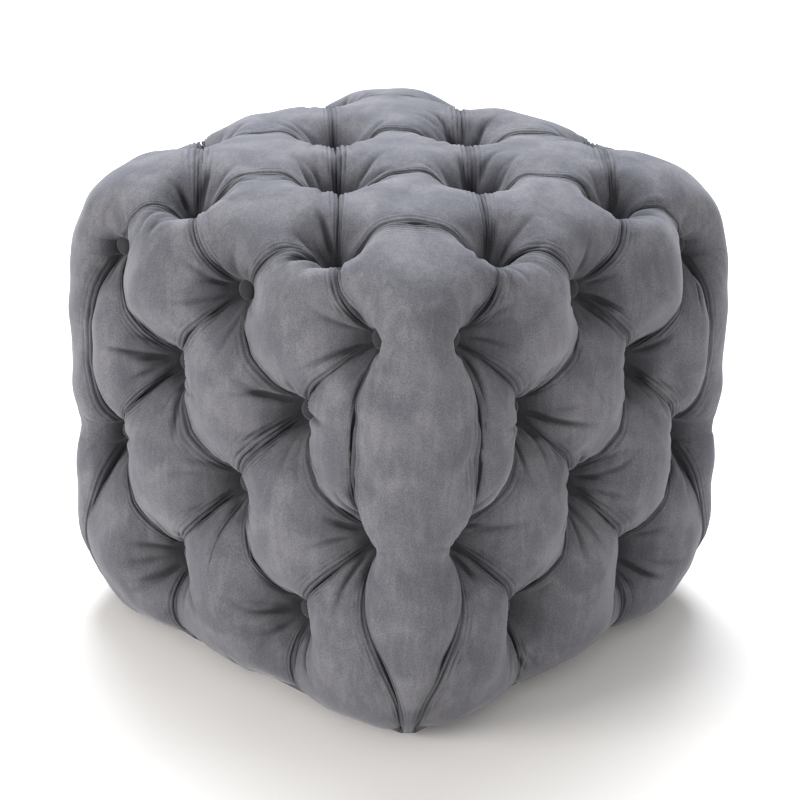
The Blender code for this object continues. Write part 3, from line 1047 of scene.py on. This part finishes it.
def make_buttons(material):
    points = bpy.data.meshes.new("button places")
    lift = BUTTON_GAP + BUTTON_UNDER * BUTTON_HEIGHT
    points.from_pydata(BUTTONS + BUTTON_WAYS * lift, [], [])
    ways = points.attributes.new("way", "FLOAT_VECTOR", "POINT")
    ways.data.foreach_set("vector", BUTTON_WAYS.ravel())
    places = bpy.data.objects.new("button places", points)
    bpy.context.scene.collection.objects.link(places)
    tree = button_tree(material)
    modifier = places.modifiers.new("buttons", "NODES")
    modifier.node_group = tree
    sizes = {"Radius": BUTTON_RADIUS, "Height": BUTTON_HEIGHT, "Uneven": BUTTON_UNEVEN}
    for socket in tree.interface.items_tree:
        if socket.in_out == "INPUT" and socket.name in sizes:
            modifier[socket.identifier] = sizes[socket.name]
    made = places.evaluated_get(bpy.context.evaluated_depsgraph_get())
    mesh = bpy.data.meshes.new_from_object(made)
    mesh.name = "velvet_buttons"
    bpy.data.objects.remove(places)
    buttons = bpy.data.objects.new("velvet_buttons", mesh)
    bpy.context.scene.collection.objects.link(buttons)
    return buttons


# Stage

ROOM_LIGHT = 0.53  # of the white walls, on the pouf
FLOOR_HALF = 6.0
FLOOR_COLOUR = (0.95, 0.93, 0.905, 1.0)
LIT = Vector((0, 0, 0.2))  # where the lamps point


def add_light(name, place, size, watts, colour):
    lamp = bpy.data.lights.new(name, "AREA")
    lamp.size, lamp.energy, lamp.color = size, watts, colour
    thing = bpy.data.objects.new(name, lamp)
    bpy.context.scene.collection.objects.link(thing)
    thing.location = place
    thing.rotation_euler = (LIT - Vector(place)).to_track_quat("-Z", "Y").to_euler()


def make_stage():
    bm = bmesh.new()
    bmesh.ops.create_grid(bm, x_segments=1, y_segments=1, size=FLOOR_HALF)
    mesh = bpy.data.meshes.new("floor")
    bm.to_mesh(mesh)
    bm.free()
    floor = bpy.data.objects.new("floor", mesh)
    bpy.context.scene.collection.objects.link(floor)
    paint = bpy.data.materials.new("pale floor")
    paint.use_nodes = True
    shader = paint.node_tree.nodes["Principled BSDF"]
    shader.inputs["Base Color"].default_value = FLOOR_COLOUR
    shader.inputs["Roughness"].default_value = 0.9
    mesh.materials.append(paint)
    add_light("key", (-1.1, -3.1, 1.2), 1.5, 86, (1.0, 0.98, 0.95))
    add_light("top", (-1.2, 1.2, 3.0), 2.2, 185, (0.90, 0.94, 1.0))
    add_light("side", (2.9, -1.0, 0.7), 1.8, 26, (1.0, 0.96, 0.92))
    bpy.context.scene.view_settings.view_transform = "Standard"
    world = bpy.data.worlds.new("studio")
    world.use_nodes = True
    bpy.context.scene.world = world
    nodes = Nodes(world.node_tree)
    seen = nodes.add("ShaderNodeLightPath").outputs["Is Camera Ray"]
    light = world.node_tree.nodes["Background"]
    # White behind the pouf, and only as bright as the walls on it
    strength = nodes.maths("ADD", nodes.maths("MULTIPLY", seen, 1.0 - ROOM_LIGHT), ROOM_LIGHT)
    nodes.tree.links.new(strength, light.inputs["Strength"])
    light.inputs["Color"].default_value = (1.0, 1.0, 1.0, 1.0)


# Camera, fitted to the photograph

CAMERA_AZIMUTH = 41.695
CAMERA_ELEVATION = 23.978
CAMERA_ROLL = 1.164
CAMERA_DISTANCE = 2.2759
CAMERA_AIM = 0.215  # height of the point that the camera looks at
CAMERA_SHIFT = (0.0019, -0.0056)  # metres to the right and up
FOCAL_PIXELS = 2398.3
PHOTO_PIXELS = 800
SENSOR_MM = 36.0


def make_camera():
    azimuth, elevation, roll = map(
        math.radians, (CAMERA_AZIMUTH, CAMERA_ELEVATION, CAMERA_ROLL)
    )
    level = math.cos(elevation)
    back = Vector((math.sin(azimuth) * level, -math.cos(azimuth) * level, math.sin(elevation)))
    right = Vector((0, 0, 1)).cross(back).normalized()
    up = back.cross(right)
    right, up = (
        math.cos(roll) * right + math.sin(roll) * up,
        math.cos(roll) * up - math.sin(roll) * right,
    )
    place = Vector((0, 0, CAMERA_AIM)) + back * CAMERA_DISTANCE
    place += right * CAMERA_SHIFT[0] + up * CAMERA_SHIFT[1]
    lens = bpy.data.cameras.new("camera")
    lens.sensor_width = SENSOR_MM
    lens.lens = FOCAL_PIXELS * SENSOR_MM / PHOTO_PIXELS
    camera = bpy.data.objects.new("camera", lens)
    bpy.context.scene.collection.objects.link(camera)
    camera.matrix_world = Matrix.LocRotScale(
        place, Matrix((right, up, back)).transposed().to_quaternion(), None
    )
    bpy.context.scene.camera = camera


make_camera()
make_stage()
cover = make_cover()
nap = brushed_nap()
cover.data.materials.append(velvet("Cover velvet", nap, COVER_SMOOTHED, COVER_RUFFLED))
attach(cover, "root")
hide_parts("cover")

# The buttons' velvet is darkened as painted shade of their pockets
buttons = make_buttons(velvet("Button velvet", nap, BUTTON_SHADED_SMOOTHED, BUTTON_SHADED_RUFFLED))
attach(buttons, "root")
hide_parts(*(f"button_{number:02d}" for number in range(1, len(BUTTONS) + 1)))
